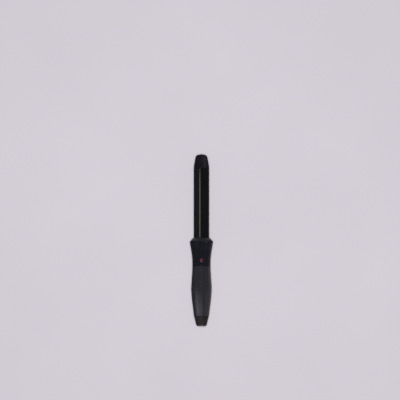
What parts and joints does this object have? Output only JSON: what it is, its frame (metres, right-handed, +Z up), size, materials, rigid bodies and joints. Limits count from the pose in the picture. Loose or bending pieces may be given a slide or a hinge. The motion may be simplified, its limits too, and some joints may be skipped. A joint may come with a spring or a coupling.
{
  "type": "curling iron",
  "caption": "Slim clipless curling iron: straight heated barrel, tapered cool tip, flared collar, contoured handle with a lit push button, and a swivelling cord entry.",
  "frame": {"origin": "centre of the footprint of the wand's bounding box, on the table it lies on", "axes": "+Y along the wand from the cord end to the cool tip, +Z up and out of the side with the power button, +X to the right seen from above with the tip away from the viewer"},
  "size_m": [0.0286, 0.212, 0.0265],
  "materials": {
    "barrel_coat": "gloss",
    "tip_plastic": "matte",
    "collar_plastic": "satin",
    "neck_plastic": "gloss",
    "grip_plastic": "satin",
    "cap_plastic": "matte",
    "button_red": "gloss",
    "led_red": "diffused red lens",
    "swivel_plastic": "satin",
    "pps_plastic": "glass-filled heat-resistant moulding, brown",
    "white_nylon": "natural nylon",
    "ptfe": "white low-friction plastic",
    "mica": "pressed mica sheet",
    "heater_ceramic": "fired heater ceramic",
    "spreader_metal": "extruded, bare",
    "electrode_metal": "rolled sheet",
    "film": "amber polyimide film",
    "spring_steel": "spring strip",
    "screw_steel": "zinc-plated",
    "fuse_metal": "drawn can",
    "wire_red": "silicone insulation",
    "wire_white": "silicone insulation",
    "board": "solder-masked laminate",
    "component_black": "moulded package",
    "component_yellow": "dipped case",
    "component_beige": "lacquered body",
    "fuse_glass": "glass and metal body",
    "brass": "turned",
    "bronze_strip": "spring bronze strip"
  },
  "bodies": {
    "wand": {"barrel_tube": "barrel_coat", "cool_tip": "tip_plastic", "tip_base": "pps_plastic", "tip_mica_washer": "mica", "heat_spreader_front": "spreader_metal", "heat_spreader_back": "spreader_metal", "ptc_tiles": "heater_ceramic", "electrode_front": "electrode_metal", "electrode_back": "electrode_metal", "insulation_film": "film", "spreader_springs": "spring_steel", "thermal_fuse": "fuse_metal", "heater_lead_line": "wire_red", "heater_lead_neutral": "wire_white", "barrel_mount": "pps_plastic", "barrel_mica_washer": "mica", "barrel_screws": "screw_steel", "collar_ring": "collar_plastic", "front_housing": "neck_plastic", "grip_front": "grip_plastic", "grip_back": "grip_plastic", "grip_screws": "screw_steel", "control_board": "board", "film_capacitor": "component_yellow", "triac": "component_black", "board_fuse": "fuse_glass", "control_chip": "component_black", "resistors": "component_beige", "switch_body": "component_black", "end_cap": "cap_plastic", "thrust_washer": "ptfe", "brush_holder": "pps_plastic", "contact_spring_line": "bronze_strip", "contact_spring_neutral": "bronze_strip", "board_lead_line": "wire_red", "board_lead_neutral": "wire_white"},
    "button": {"power_button": "button_red", "switch_plunger": "white_nylon", "indicator_led": "led_red"},
    "swivel": {"swivel_gland": "swivel_plastic", "slip_ring_line": "brass", "slip_ring_neutral": "brass", "ring_spacer": "white_nylon", "swivel_circlip": "spring_steel"}
  },
  "joints": [
    {"name": "button_press", "type": "slide", "parent": "wand", "child": "button", "axis": [0, 0, -1], "range_m": [0, 0.0006], "stiffness_N_per_m": 1000, "springref_m": -0.0005},
    {"name": "cord_swivel", "type": "hinge", "parent": "wand", "child": "swivel", "pos_m": [0, -0.102, 0.0122], "axis": [0, 1, 0], "continuous": true}
  ]
}
